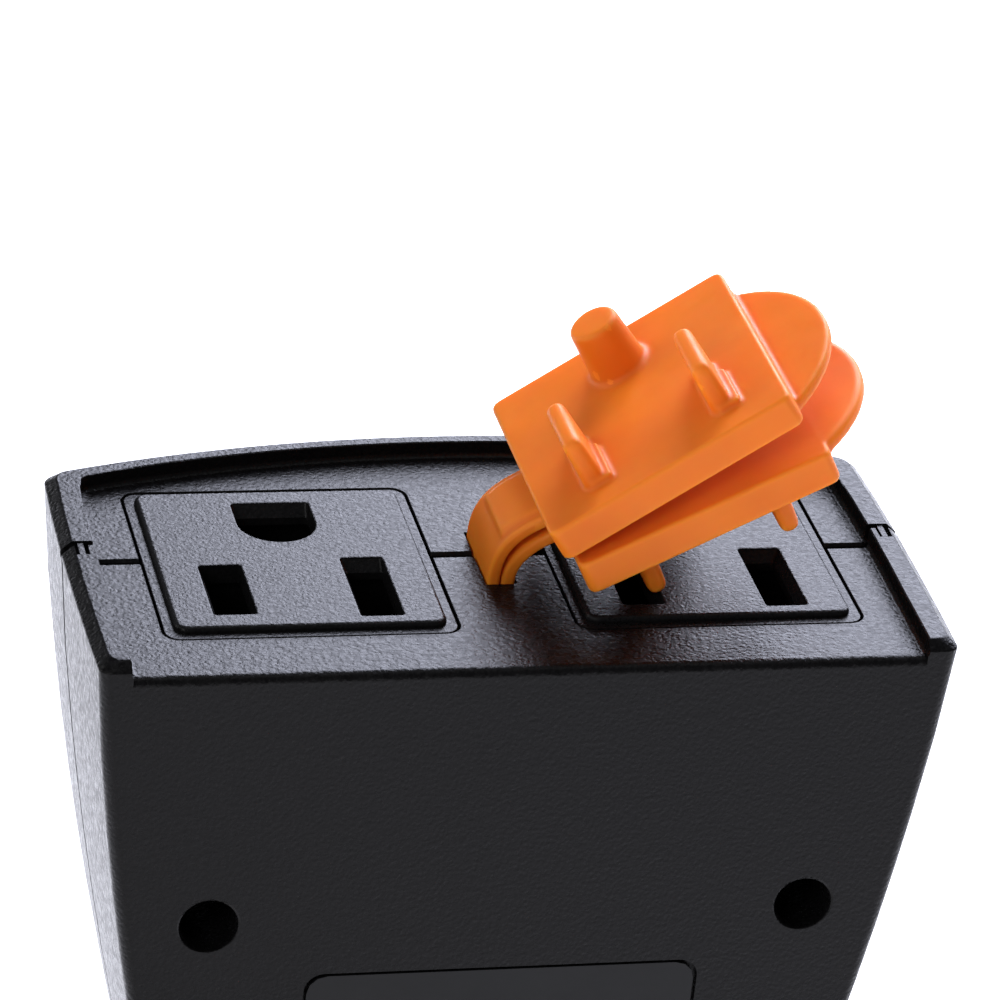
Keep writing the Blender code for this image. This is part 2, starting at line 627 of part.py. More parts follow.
def make_wire(name, points, paint):
    """A round wire through hand-placed points, smoothed by a Catmull-Rom curve."""
    curve = bpy.data.curves.new(name, "CURVE")
    curve.dimensions = "3D"
    curve.bevel_depth = WIRE_RADIUS * MM
    curve.bevel_resolution = 2
    curve.use_fill_caps = True
    knots = [Vector(p) for p in points]
    knots = [knots[0] * 2 - knots[1], *knots, knots[-1] * 2 - knots[-2]]
    line = []
    for a, b, c, d in zip(knots, knots[1:], knots[2:], knots[3:]):
        for k in range(6):
            t = k / 6
            line.append(0.5 * (2 * b + (c - a) * t + (2 * a - 5 * b + 4 * c - d) * t * t
                               + (3 * b - 3 * c + d - a) * t ** 3))
    line.append(knots[-2])
    spline = curve.splines.new("POLY")
    spline.points.add(len(line) - 1)
    for point, spot in zip(spline.points, line):
        point.co = (*(spot * MM), 1.0)
    made = bpy.data.objects.new(name, curve)
    PARTS.objects.link(made)
    curve.materials.append(paint)


def make_wires():
    block_y = BOARD_Y[0] - GAP - 5
    make_wire("wire_line", [(-1.8, -4.6, 13), (-2.2, -6.2, 20), (-6, -6.0, 25), (-7, block_y, 28.6)],
              WIRE_BLACK)
    make_wire("wire_neutral", [(1.8, -4.6, 13), (2.2, -6.2, 20), (6, -6.0, 25), (7, block_y, 28.6)],
              WIRE_WHITE)
    make_wire("wire_ground", [(0, -6.8, 13), (0, -9.5, 22), (0, -14.0, 34), (0, -15.2, 50), (0, -15.2, 66),
                              (0, -12.5, 74.5), (0, -4, 75.4), (0, 6, 75.4), (0, 11.6, 75.4)], WIRE_GREEN)


make_shells()
make_label()
make_case_screws()
make_gaskets()
for insert_name, insert_side in (("outlet_insert_left", -1), ("outlet_insert_right", 1)):
    make_insert(insert_name, insert_side)
make_contacts()
make_cap("cap_left", -1, LEFT_POLE, -LEFT_OPEN)
make_cap("cap_right", 1, RIGHT_POLE, RIGHT_OPEN)
make_strap("strap_left", LEFT_PATH, LEFT_STRAP, -1)
make_strap("strap_right", RIGHT_PATH, RIGHT_STRAP, 1)
make_strap_anchor()
make_cord_entry()
make_board()
make_electronics()
make_front_controls()
make_wires()
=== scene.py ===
"""Looks of the two-outlet outdoor power module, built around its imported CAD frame.

Lengths in the modelling code are millimetres in the CAD's frame, and are scaled to metres when a
mesh is finished. X runs across the outlets, Y from the rear shell to the front shell, Z up.
Depths of relief, softbox places and the floor are in metres.
"""

import json
import math

import bmesh
import bpy
from mathutils import Matrix, Vector


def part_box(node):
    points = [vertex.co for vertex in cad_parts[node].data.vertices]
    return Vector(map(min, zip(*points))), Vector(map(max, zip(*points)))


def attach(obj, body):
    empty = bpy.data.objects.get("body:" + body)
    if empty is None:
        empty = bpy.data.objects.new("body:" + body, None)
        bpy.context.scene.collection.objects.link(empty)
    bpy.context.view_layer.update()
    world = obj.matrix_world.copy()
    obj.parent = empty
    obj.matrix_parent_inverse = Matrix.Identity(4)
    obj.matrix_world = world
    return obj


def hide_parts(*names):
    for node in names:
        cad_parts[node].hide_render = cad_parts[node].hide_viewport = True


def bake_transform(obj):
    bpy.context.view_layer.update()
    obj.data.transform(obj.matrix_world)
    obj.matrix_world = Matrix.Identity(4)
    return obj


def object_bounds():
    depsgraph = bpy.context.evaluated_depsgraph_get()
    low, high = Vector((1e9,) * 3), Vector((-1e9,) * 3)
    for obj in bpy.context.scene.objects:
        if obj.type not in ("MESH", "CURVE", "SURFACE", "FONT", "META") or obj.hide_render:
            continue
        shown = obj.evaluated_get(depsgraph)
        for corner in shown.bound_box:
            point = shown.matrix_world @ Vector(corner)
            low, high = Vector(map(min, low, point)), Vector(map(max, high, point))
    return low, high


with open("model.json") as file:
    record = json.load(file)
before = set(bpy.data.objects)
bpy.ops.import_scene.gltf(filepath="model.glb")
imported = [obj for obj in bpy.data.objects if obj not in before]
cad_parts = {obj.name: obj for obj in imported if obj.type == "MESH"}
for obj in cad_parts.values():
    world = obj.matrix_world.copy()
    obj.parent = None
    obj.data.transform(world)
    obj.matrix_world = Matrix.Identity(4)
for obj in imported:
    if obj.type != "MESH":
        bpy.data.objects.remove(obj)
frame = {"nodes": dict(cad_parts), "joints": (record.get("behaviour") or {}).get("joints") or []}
cad_low, cad_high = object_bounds()
scene = bpy.context.scene

MM = 0.001


# Anchors read from the frame, in millimetres

def cad_box(node):
    low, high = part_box(node)
    return low / MM, high / MM


REAR_HIGH = cad_box("rear_shell")[1]
JOINTS = {joint["name"]: joint for joint in frame["joints"]}

# Shells: the floor lies RIM_HEIGHT under the rim's top
RIM_HEIGHT = 1.54
FLOOR_Z = REAR_HIGH.z - RIM_HEIGHT
SIDE_BULGE = 0.35
ROUNDING_LOSS = 0.052
HALF_WIDTH = REAR_HIGH.x - SIDE_BULGE + ROUNDING_LOSS
HALF_DEPTH = 20.62
TAPER, TAPER_CURVE = 0.089, 0.0014
REAR_DRAFT, FRONT_CURVE, FRONT_SAGITTA = 0.028, 0.0004, 0.158
WALL, FLOOR_THICKNESS = 2.2, 2.5
RIM_INNER, RIM_FRONT = 2.9, 2.1
RIM_MIDDLE = 36.2
RIM_SEAM_Y = (0.3, 1.15)
SEAM = 0.3

# Outlets
OUTLET_X = sum(corner.x for corner in cad_box("outlet_insert_right")) / 2
INSERT_HALF_WIDTH = 12.97
INSERT_Y = (-14.02, 12.71)
INSERT_GAP = 0.22
FACE_HEIGHT = 0.55
FACE_PLATE = 1.85
BLADE_X, BLADE_Y = 6.35, -6.30
GROUND_Y = 5.60
SLOT_HALF_WIDTH = 1.92
SLOT_HALF_LENGTH = (4.42, 5.23)
GROUND_HALF_WIDTH, GROUND_FLAT_Y = 3.54, 9.36

# Caps and straps
CAP_HALF_LENGTH = 11.9
CAP_Y = (-7.26, 17.5)
CAP_THICKNESS = 3.2
CAP_CLOSED_X = 17.208
CAP_CLOSED_Z = FLOOR_Z + 0.85
LAYER, TAB_REACH, TAB_HALF_WIDTH = 1.3, 5.9, 10.6
PIN_LENGTH = 4.9
STRAP_Y = (-5.45, 3.85)
STRAP_LEAN = -1.5
STRAP_SLOT_X = (-1.35, 1.52)
STRAP_SLOT_GAP = 0.18

# Screws (x, z, boss radius), label, button, light pipe, posts and gland
CASE_SCREWS = ((26.6, 74.9, 4.2), (12.5, 18.0, 3.8))
WELL_RADIUS, WELL_FLOOR_Y = 2.5, -5.3
SCREW_HOLE_RADIUS = 1.7
LABEL_X, LABEL_Z, LABEL_RADIUS = (-17.75, 17.75), (30.0, 69.5), 1.8
LABEL_DEPTH = 0.6
BUTTON_Z, BUTTON_HOLE = 56.0, 5.3
LIGHT_Z, LIGHT_HOLE = 71.0, 1.8
BOARD_FRONT_Y, BOARD_SCREW = 2.6, (15.3, 44.0)
BOARD_POST, BOARD_BORE = 2.6, 1.3
CLAMP_SCREW_X, CLAMP_Z, CLAMP_POST_Y = 5.9, 17.0, -3.7
CLAMP_POST, CLAMP_BORE = 2.4, 1.5
GLAND_HOLE = 5.0

# Well outside the object, for cutters
OUTSIDE = 60


# Camera

CAMERA_SPOT = Vector((-104.64, -399.30, 319.27)) * MM
CAMERA_RIGHT = Vector((0.97384, -0.20903, 0.08907))
CAMERA_UP = Vector((0.0197, 0.4681, 0.8834))
CAMERA_AHEAD = Vector((0.22636, 0.85858, -0.46000))


def make_camera():
    data = bpy.data.cameras.new("camera")
    data.lens = 190.67
    data.sensor_width = 36.0
    data.clip_start = 0.01
    camera = bpy.data.objects.new("camera", data)
    scene.collection.objects.link(camera)
    turn = Matrix((CAMERA_RIGHT, CAMERA_UP, -CAMERA_AHEAD)).transposed().to_4x4()
    camera.matrix_world = Matrix.Translation(CAMERA_SPOT) @ turn
    scene.camera = camera


make_camera()


# Mesh tools

def publish(bm, name, scale=MM):
    """Link a mesh object made from a bmesh in millimetres."""
    bmesh.ops.scale(bm, vec=(scale,) * 3, verts=bm.verts)
    bmesh.ops.recalc_face_normals(bm, faces=bm.faces)
    mesh = bpy.data.meshes.new(name)
    bm.to_mesh(mesh)
    bm.free()
    made = bpy.data.objects.new(name, mesh)
    scene.collection.objects.link(made)
    return made


def loft(name, rings, closed=False):
    """A solid through rings with the same number of points. A closed loft joins its ends."""
    bm = bmesh.new()
    levels = [[bm.verts.new(point) for point in ring] for ring in rings]
    count = len(levels[0])
    pairs = list(zip(levels, levels[1:]))
    if closed:
        pairs.append((levels[-1], levels[0]))
    for lower, upper in pairs:
        for i in range(count):
            j = (i + 1) % count
            bm.faces.new((lower[i], lower[j], upper[j], upper[i]))
    if not closed:
        bm.faces.new(list(reversed(levels[0])))
        bm.faces.new(levels[-1])
    return publish(bm, name)


def box(name, low, high):
    corners = [(low[0], low[1]), (high[0], low[1]), (high[0], high[1]), (low[0], high[1])]
    return loft(name, [[(x, y, z) for x, y in corners] for z in (low[2], high[2])])


def prism(name, outline, low, high, axis):
    """An outline pushed along one axis; the outline holds the other two, in order."""
    def place(point, level):
        spot = list(point)
        spot.insert("XYZ".index(axis), level)
        return tuple(spot)
    return loft(name, [[place(point, level) for point in outline] for level in (low, high)])


def turned(name, profile, centre, axis="Y", sides=64, hollow=False):
    """A profile of (distance along the axis, radius) turned about a line through centre."""
    def place(along, radius, angle):
        a, b = radius * math.cos(angle), radius * math.sin(angle)
        if axis == "Y":
            return (centre[0] + a, along, centre[1] + b)
        return (centre[0] + a, centre[1] + b, along)
    rings = [[place(along, radius, math.tau * k / sides) for k in range(sides)]
             for along, radius in profile]
    return loft(name, rings, hollow)


def rounded(corners, segments=6):
    """An outline whose corners, given as x, y and radius, are turned into arcs."""
    outline = []
    for i, (x, y, radius) in enumerate(corners):
        here = Vector((x, y))
        if not radius:
            outline.append(tuple(here))
            continue
        before = (Vector(corners[i - 1][:2]) - here).normalized()
        after = (Vector(corners[(i + 1) % len(corners)][:2]) - here).normalized()
        half = before.angle(after) / 2
        centre = here + (before + after).normalized() * (radius / math.sin(half))
        first = here + before * (radius / math.tan(half)) - centre
        last = here + after * (radius / math.tan(half)) - centre
        turn = first.angle_signed(last)
        for k in range(segments + 1):
            spot = first.copy()
            spot.rotate(Matrix.Rotation(-turn * k / segments, 2))
            outline.append(tuple(centre + spot))
    return outline


def rectangle(x, y, radius, segments=6):
    return rounded([(x[0], y[0], radius), (x[1], y[0], radius),
                    (x[1], y[1], radius), (x[0], y[1], radius)], segments)


def boolean(target, operation, tools):
    """Apply each tool to the target and delete the tool."""
    for tool in tools:
        modifier = target.modifiers.new(tool.name, "BOOLEAN")
        modifier.operation = operation
        modifier.solver = "EXACT"
        modifier.object = tool
    bake(target)
    for tool in tools:
        bpy.data.objects.remove(tool, do_unlink=True)


def bake(target):
    """Replace the mesh with what the modifiers make of it."""
    bpy.context.view_layer.update()
    graph = bpy.context.evaluated_depsgraph_get()
    mesh = bpy.data.meshes.new_from_object(target.evaluated_get(graph))
    target.modifiers.clear()
    target.data = mesh


def join(target, *tools):
    boolean(target, "UNION", tools)


def cut(target, *tools):
    boolean(target, "DIFFERENCE", tools)


def crisp(target, angle=28):
    """Smooth shading that keeps hard corners and flat faces."""
    target.data.shade_smooth()
    target.data.set_sharp_from_angle(angle=math.radians(angle))
    modifier = target.modifiers.new("flat_faces", "WEIGHTED_NORMAL")
    modifier.keep_sharp = True
    modifier.weight = 100
    return target


# Materials

class Surface:
    """A procedural material: mottled colour, uneven gloss and a fine grain."""

    def __init__(self, name, colour, roughness, metallic=0.0):
        self.material = bpy.data.materials.new(name)
        self.material.use_nodes = True
        self.tree = self.material.node_tree
        self.shader = self.tree.nodes["Principled BSDF"]
        self.shader.inputs["Metallic"].default_value = metallic
        self.coordinates = self.tree.nodes.new("ShaderNodeTexCoord").outputs["Object"]
        self.colour, self.roughness = colour, roughness
        self.height = None

    def set(self, **values):
        for key, value in values.items():
            self.shader.inputs[key.replace("_", " ")].default_value = value
        return self

    def noise(self, scale, detail=2.0, rough=0.5, stretch=None):
        node = self.tree.nodes.new("ShaderNodeTexNoise")
        node.inputs["Scale"].default_value = scale
        node.inputs["Detail"].default_value = detail
        node.inputs["Roughness"].default_value = rough
        source = self.coordinates
        if stretch:
            mapping = self.tree.nodes.new("ShaderNodeMapping")
            mapping.inputs["Scale"].default_value = stretch
            self.tree.links.new(source, mapping.inputs["Vector"])
            source = mapping.outputs["Vector"]
        self.tree.links.new(source, node.inputs["Vector"])
        return node.outputs["Fac"]

    def cells(self, scale, smooth=0.6):
        node = self.tree.nodes.new("ShaderNodeTexVoronoi")
        node.feature = "SMOOTH_F1"
        node.inputs["Scale"].default_value = scale
        node.inputs["Smoothness"].default_value = smooth
        self.tree.links.new(self.coordinates, node.inputs["Vector"])
        return node.outputs["Distance"]

    def ramp(self, source, stops):
        node = self.tree.nodes.new("ShaderNodeValToRGB")
        while len(node.color_ramp.elements) < len(stops):
            node.color_ramp.elements.new(0.5)
        for element, (position, colour) in zip(node.color_ramp.elements, stops):
            element.position = position
            element.color = (*colour, 1.0)
        self.tree.links.new(source, node.inputs["Fac"])
        return node.outputs["Color"]

    def spread(self, source, low, high, start=0.3, end=0.7):
        node = self.tree.nodes.new("ShaderNodeMapRange")
        limits = (("From Min", start), ("From Max", end), ("To Min", low), ("To Max", high))
        for key, value in limits:
            node.inputs[key].default_value = value
        self.tree.links.new(source, node.inputs["Value"])
        return node.outputs["Result"]

    def mottle(self, scale=120.0, amount=0.12, detail=3.0):
        """Uneven colour, from darker to lighter than the base."""
        stops = [(0.3, [c * (1 - amount) for c in self.colour]),
                 (0.7, [min(1.0, c * (1 + amount)) for c in self.colour])]
        colour = self.ramp(self.noise(scale, detail), stops)
        self.tree.links.new(colour, self.shader.inputs["Base Color"])
        return self

    def gloss(self, scale=200.0, amount=0.06):
        rough = self.spread(self.noise(scale), self.roughness - amount, self.roughness + amount)
        self.tree.links.new(rough, self.shader.inputs["Roughness"])
        return self

    def grain(self, source, depth, strength=1.0):
        """Add a layer of relief; depth is in metres."""
        node = self.tree.nodes.new("ShaderNodeBump")
        node.inputs["Distance"].default_value = depth
        node.inputs["Strength"].default_value = strength
        self.tree.links.new(source, node.inputs["Height"])
        if self.height:
            self.tree.links.new(self.height, node.inputs["Normal"])
        self.height = node.outputs["Normal"]
        self.tree.links.new(self.height, self.shader.inputs["Normal"])
        return self


def moulded(name, colour, roughness, pebble, depth, level):
    """Black plastic with a spark-eroded pebble grain of a given noise scale."""
    made = Surface(name, colour, roughness).mottle(pebble, 0.25).gloss(pebble * 0.5, 0.09)
    made.grain(made.noise(pebble, 3.0, 0.55), depth)
    made.grain(made.cells(pebble * 0.8), depth * 0.6)
    return made.set(Specular_IOR_Level=level).material


def silicone():
    """Translucent rubber with a painted highlight: a lighter orange along its sharp edges stands in for
    light glowing through where it is thin.
    """
    made = Surface("orange_silicone", (0.80, 0.17, 0.012), 0.48)
    pointiness = made.tree.nodes.new("ShaderNodeNewGeometry").outputs["Pointiness"]
    base = made.ramp(made.noise(140.0, 3.0),
                     [(0.3, (0.76, 0.158, 0.009)), (0.7, (0.84, 0.192, 0.012))])
    # Painted highlight: sharp convex edges, found from pointiness, are mixed towards a lighter orange
    # as painted glow of light through thin silicone.
    painted_glow_mask = made.ramp(pointiness, [(0.49, (0, 0, 0)), (0.56, (1, 1, 1))])
    mix = made.tree.nodes.new("ShaderNodeMix")
    mix.data_type = "RGBA"
    factor, from_base, painted_glow_colour = mix.inputs[0], mix.inputs[6], mix.inputs[7]
    painted_glow_colour.default_value = (0.92, 0.27, 0.02, 1.0)
    made.tree.links.new(painted_glow_mask, factor)
    made.tree.links.new(base, from_base)
    made.tree.links.new(mix.outputs[2], made.shader.inputs["Base Color"])
    made.gloss(300.0, 0.07)
    made.grain(made.noise(1500.0, 3.0), 0.000012)
    made.grain(made.noise(170.0, 2.0), 0.000025)
    made.set(Subsurface_Weight=0.45, Subsurface_Radius=(1.0, 0.32, 0.08), Subsurface_Scale=0.0022,
             Specular_IOR_Level=0.27, IOR=1.42)
    return made.material


def metal(name, colour, roughness, stretch):
    made = Surface(name, colour, roughness, 1.0).mottle(400.0, 0.12).gloss(900.0, 0.08)
    return made.grain(made.noise(900.0, 2.0, stretch=stretch), 0.00001).material


def plain(name, colour, roughness, scale=600.0, depth=0.00001, level=0.4):
    made = Surface(name, colour, roughness).mottle(150.0, 0.10).gloss(400.0, 0.05)
    return made.grain(made.noise(scale, 2.0), depth).set(Specular_IOR_Level=level).material


def board_green():
    """Solder mask over copper tracks that show as slightly raised, lighter lines."""
    made = Surface("board_green", (0.012, 0.12, 0.045), 0.38).gloss(500.0, 0.05)
    brick = made.tree.nodes.new("ShaderNodeTexBrick")
    tracks = (("Scale", 240.0), ("Mortar Size", 0.08), ("Brick Width", 1.6), ("Row Height", 0.5))
    for key, value in tracks:
        brick.inputs[key].default_value = value
    turn = made.tree.nodes.new("ShaderNodeMapping")
    turn.inputs["Rotation"].default_value = (math.radians(90), 0, 0)
    made.tree.links.new(made.coordinates, turn.inputs["Vector"])
    made.tree.links.new(turn.outputs["Vector"], brick.inputs["Vector"])
    colour = made.ramp(brick.outputs["Fac"],
                       [(0.2, (0.010, 0.10, 0.038)), (0.8, (0.022, 0.19, 0.075))])
    made.tree.links.new(colour, made.shader.inputs["Base Color"])
    return made.grain(brick.outputs["Fac"], 0.00003).material


def lens():
    made = Surface("lens_clear", (0.82, 0.86, 0.86), 0.12).mottle(300.0, 0.05).gloss(600.0, 0.04)
    made.grain(made.noise(700.0, 1.0), 0.000006)
    return made.set(Transmission_Weight=0.6, IOR=1.49).material


MATERIALS = {
    "shell_black": moulded("shell_black", (0.0042, 0.0039, 0.0042), 0.28, 3000.0, 0.00006, 0.11),
    "insert_black": moulded("insert_black", (0.0065, 0.0062, 0.0066), 0.30, 3800.0, 0.000045,
                            0.115),
    "orange_silicone": silicone(),
    "black_rubber": plain("black_rubber", (0.014, 0.014, 0.015), 0.62, 1800.0, 0.00003),
    "brass": metal("brass", (0.72, 0.52, 0.22), 0.30, (1.0, 6.0, 1.0)),
    "zinc_steel": metal("zinc_steel", (0.52, 0.53, 0.55), 0.34, (1.0, 1.0, 5.0)),
    "board_green": board_green(),
    "relay_blue": plain("relay_blue", (0.03, 0.12, 0.42), 0.40, 2200.0, 0.00002),
    "ivory_plastic": plain("ivory_plastic", (0.70, 0.68, 0.60), 0.48, 1500.0, 0.00002),
    "dark_plastic": plain("dark_plastic", (0.022, 0.022, 0.024), 0.50, 2200.0, 0.00003),
    "lens_clear": lens(),
    "label_film": plain("label_film", (0.007, 0.007, 0.0075), 0.36, 1200.0, 0.000008,
                        level=0.15),
    "wire_black": plain("wire_black", (0.016, 0.016, 0.017), 0.45, 900.0, 0.00002),
    "wire_white": plain("wire_white", (0.78, 0.78, 0.75), 0.45, 900.0, 0.00002),
    "wire_green": plain("wire_green", (0.025, 0.28, 0.07), 0.45, 900.0, 0.00002),
}


def paint(piece, slot):
    piece.data.materials.clear()
    piece.data.materials.append(MATERIALS[slot])
    return piece


# Housing: both shells are cut from one tapered body

def half_width(z):
    drop = FLOOR_Z - z
    return HALF_WIDTH - TAPER * abs(drop) - TAPER_CURVE * drop * drop


def rear_y(z):
    return -HALF_DEPTH + REAR_DRAFT * (FLOOR_Z - z)


def front_y(z):
    drop = max(FLOOR_Z - z, 0.0)
    return HALF_DEPTH - REAR_DRAFT * drop - FRONT_CURVE * drop * drop


def front_at(x, z, inset=0.0):
    wide = half_width(z) - inset
    sagitta = FRONT_SAGITTA * wide
    radius = (wide * wide + sagitta * sagitta) / (2 * sagitta)
    return front_y(z) - inset - radius + math.sqrt(radius * radius - x * x)


def section(z, inset, corner=1.2):
    """The outline at one height: flat rear, bulging sides and a front arc."""
    wide = half_width(z) - inset
    side_y = front_at(wide, z, inset)
    low_y = rear_y(z) + inset
    arc = [(x, front_at(x, z, inset), 0) for x in (wide * k / 12 for k in range(11, -12, -1))]

    def side(sign):
        shares = (0.2, 0.4, 0.6, 0.8) if sign > 0 else (0.8, 0.6, 0.4, 0.2)
        points = []
        for share in shares:
            y = low_y + (side_y - low_y) * share
            edge = low_y if y < 0 else side_y
            points.append((sign * (wide + SIDE_BULGE * (1 - (y / edge) ** 2)), y, 0))
        return points
    corners = [(-wide, low_y, corner), (wide, low_y, corner), *side(1),
               (wide, side_y, 1.6), *arc, (-wide, side_y, 1.6), *side(-1)]
    return [(x, y, z) for x, y in rounded(corners)]


BODY_LEVELS = (
    (0.0, 1.15), (0.12, 0.74), (0.45, 0.34), (0.9, 0.1), (1.4, 0.0),
    *((z, 0.0) for z in (8, 15, 22, 30, 38, 45, 52, 60, 66, 72, 78, 84, 92)),
    (FLOOR_Z + 0.58, 0.0), (FLOOR_Z + 0.68, 0.03), (FLOOR_Z + 0.76, 0.1),
    (FLOOR_Z + 1.40, 0.74), (FLOOR_Z + 1.49, 0.85), (FLOOR_Z + RIM_HEIGHT, 1.0))


def body_solid(name):
    return loft(name, [section(z, inset) for z, inset in BODY_LEVELS])


def cavity():
    levels = (2.5, 15, 30, 45, 60, 72, 84, FLOOR_Z - FLOOR_THICKNESS)
    return loft("cavity", [section(z, WALL, 0.8) for z in levels])


def quarter(radius):
    """Sines and cosines along a quarter turn, each times the radius."""
    return [(radius * math.sin(a), radius * math.cos(a))
            for a in (math.radians(15 * k) for k in range(7))]


def floor_recess():
    """Open at the rear edge; a fillet at the foot of the rim and a softened top edge."""
    rings = []
    fillet = 0.5
    levels = [(fillet - across, RIM_INNER + fillet - up) for up, across in quarter(fillet)]
    levels += [(1.36, RIM_INNER), (1.47, RIM_INNER - 0.04), (RIM_HEIGHT, RIM_INNER - 0.16),
               (4.0, RIM_INNER - 0.16)]
    for rise, inset in levels:
        ring = []
        for x, y, _ in section(FLOOR_Z, inset, 0.8):
            shift = -12 if y < -15 else RIM_INNER - RIM_FRONT if y > 12 else 0
            ring.append((x, y + shift, FLOOR_Z + rise))
        rings.append(ring)
    return loft("recess", rings)


def rear_edge_round(radius=0.8):
    """Rounds the edge where the floor meets the rear face."""
    z = FLOOR_Z - radius
    y = rear_y(z) + radius
    arc = [(y - radius * math.cos(a), z + radius * math.sin(a))
           for a in (math.radians(11.25 * k) for k in range(9))]
    outline = [(y - radius - 1, z), *arc, (y, FLOOR_Z + 1), (y - radius - 1, FLOOR_Z + 1)]
    wide = HALF_WIDTH - RIM_INNER - 0.02
    return prism("edge_round", outline, -wide, wide, "X")


def insert_opening(side):
    x = side * OUTLET_X
    rings = []
    for rise, grow in ((-6, 0), (-0.15, 0), (-0.05, 0.02), (0, 0.08), (1, 0.08)):
        outline = rectangle((x - INSERT_HALF_WIDTH - grow, x + INSERT_HALF_WIDTH + grow),
                            (INSERT_Y[0] - grow, INSERT_Y[1] + grow), 1.5 + grow)
        rings.append([(px, py, FLOOR_Z + rise) for px, py in outline])
    return loft(f"opening_{side}", rings)


def label_recess():
    outline = rectangle(LABEL_X, LABEL_Z, LABEL_RADIUS)
    return loft("label_recess", [[(px, rear_y(pz) + depth, pz) for px, pz in outline]
                                 for depth in (-1.0, LABEL_DEPTH)])


def case_screw_places():
    """Each case screw's x, z and boss radius."""
    return [(side * x, z, boss) for x, z, boss in CASE_SCREWS for side in (-1, 1)]


def seam_groove():
    """A V along the floor, where the edges of the shells are softened."""
    top, foot = 0.55, FLOOR_Z - 0.3
    outline = [(-top, FLOOR_Z + 0.2), (-top, FLOOR_Z), (-SEAM, foot), (SEAM, foot),
               (top, FLOOR_Z), (top, FLOOR_Z + 0.2)]
    reach = HALF_WIDTH - RIM_INNER + 0.1
    return prism("seam_groove", outline, -reach, reach, "X")


def strap_slot():
    return box("strap_slot", (STRAP_SLOT_X[0], STRAP_Y[0] - STRAP_SLOT_GAP, FLOOR_Z - 4),
               (STRAP_SLOT_X[1], STRAP_Y[1] + STRAP_SLOT_GAP, FLOOR_Z + 1))


def gland_hole():
    flare = GLAND_HOLE + 0.4
    profile = [(-1, flare), (0, flare), (0.4, GLAND_HOLE), (4, GLAND_HOLE)]
    return turned("gland_hole", profile, (0, 0), "Z")


def bosses(rear):
    """Screw bosses, from the wall to the plane between the shells."""
    made = []
    for x, z, radius in case_screw_places():
        wall = rear_y(z) + 1.0 if rear else front_at(abs(x) + radius, z) - 1.0
        profile = [(wall, radius), (0, radius)] if rear else [(0, radius), (wall, radius)]
        made.append(turned("boss", profile, (x, z)))
    return made


def far_half(rear):
    """What the other shell takes up; the seam steps towards the front above the floor."""
    step = FLOOR_Z + 0.25
    top = FLOOR_Z + 10
    if rear:
        return [box("half", (-OUTSIDE, -SEAM, -5), (OUTSIDE, OUTSIDE, step)),
                box("half_rim", (-OUTSIDE, RIM_SEAM_Y[0], step - 0.1), (OUTSIDE, OUTSIDE, top))]
    return [box("half", (-OUTSIDE, -OUTSIDE, -5), (OUTSIDE, SEAM, step)),
            box("half_rim", (-OUTSIDE, -OUTSIDE, step - 0.1), (OUTSIDE, RIM_SEAM_Y[1], top))]


def rim_blocks(name, half, y, z):
    """A small block on each side's rim."""
    return [box(name, (side * RIM_MIDDLE - half, y[0], FLOOR_Z + z[0]),
                (side * RIM_MIDDLE + half, y[1], FLOOR_Z + z[1])) for side in (-1, 1)]


def make_shells():
    for name in ("rear_shell", "front_shell"):
        rear = name == "rear_shell"
        shell = body_solid(f"{name}_look")
        cut(shell, cavity(), floor_recess(), rear_edge_round(), insert_opening(-1),
            insert_opening(1), seam_groove(), strap_slot(), gland_hole())
        join(shell, *bosses(rear))
        if rear:
            add_rear_details(shell)
        else:
            add_front_details(shell)
        cut(shell, *far_half(rear))
        if rear:
            cut(shell, *rim_blocks("notch", 0.6, (-1.3, 1.0), (0.5, 3)))
        else:
            join(shell, *rim_blocks("tongue", 0.25, (-1.0, 1.4), (0.62, 1.4)))
        crisp(paint(shell, "shell_black"))
        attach(shell, "housing")
        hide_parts(name)


def add_rear_details(shell):
    wells, holes = [], []
    for x, z, _ in case_screw_places():
        face = rear_y(z)
        flare = WELL_RADIUS + 0.35
        profile = [(-30, flare), (face - 0.05, flare), (face + 0.1, WELL_RADIUS + 0.12),
                   (face + 0.35, WELL_RADIUS), (WELL_FLOOR_Y, WELL_RADIUS)]
        wells.append(turned("well", profile, (x, z)))
        holes.append(turned("hole", [(-10, SCREW_HOLE_RADIUS), (5, SCREW_HOLE_RADIUS)], (x, z),
                            sides=24))
    cut(shell, *wells, *holes)
    posts, bores = [], []
    for side in (-1, 1):
        spot = (side * CLAMP_SCREW_X, CLAMP_Z)
        foot = rear_y(CLAMP_Z) + 1
        post = [(foot, CLAMP_POST), (CLAMP_POST_Y, CLAMP_POST)]
        posts.append(turned("post", post, spot, sides=32))
        bores.append(turned("bore", [(-12, CLAMP_BORE), (0, CLAMP_BORE)], spot, sides=24))
    join(shell, *posts)
    cut(shell, *bores, label_recess())


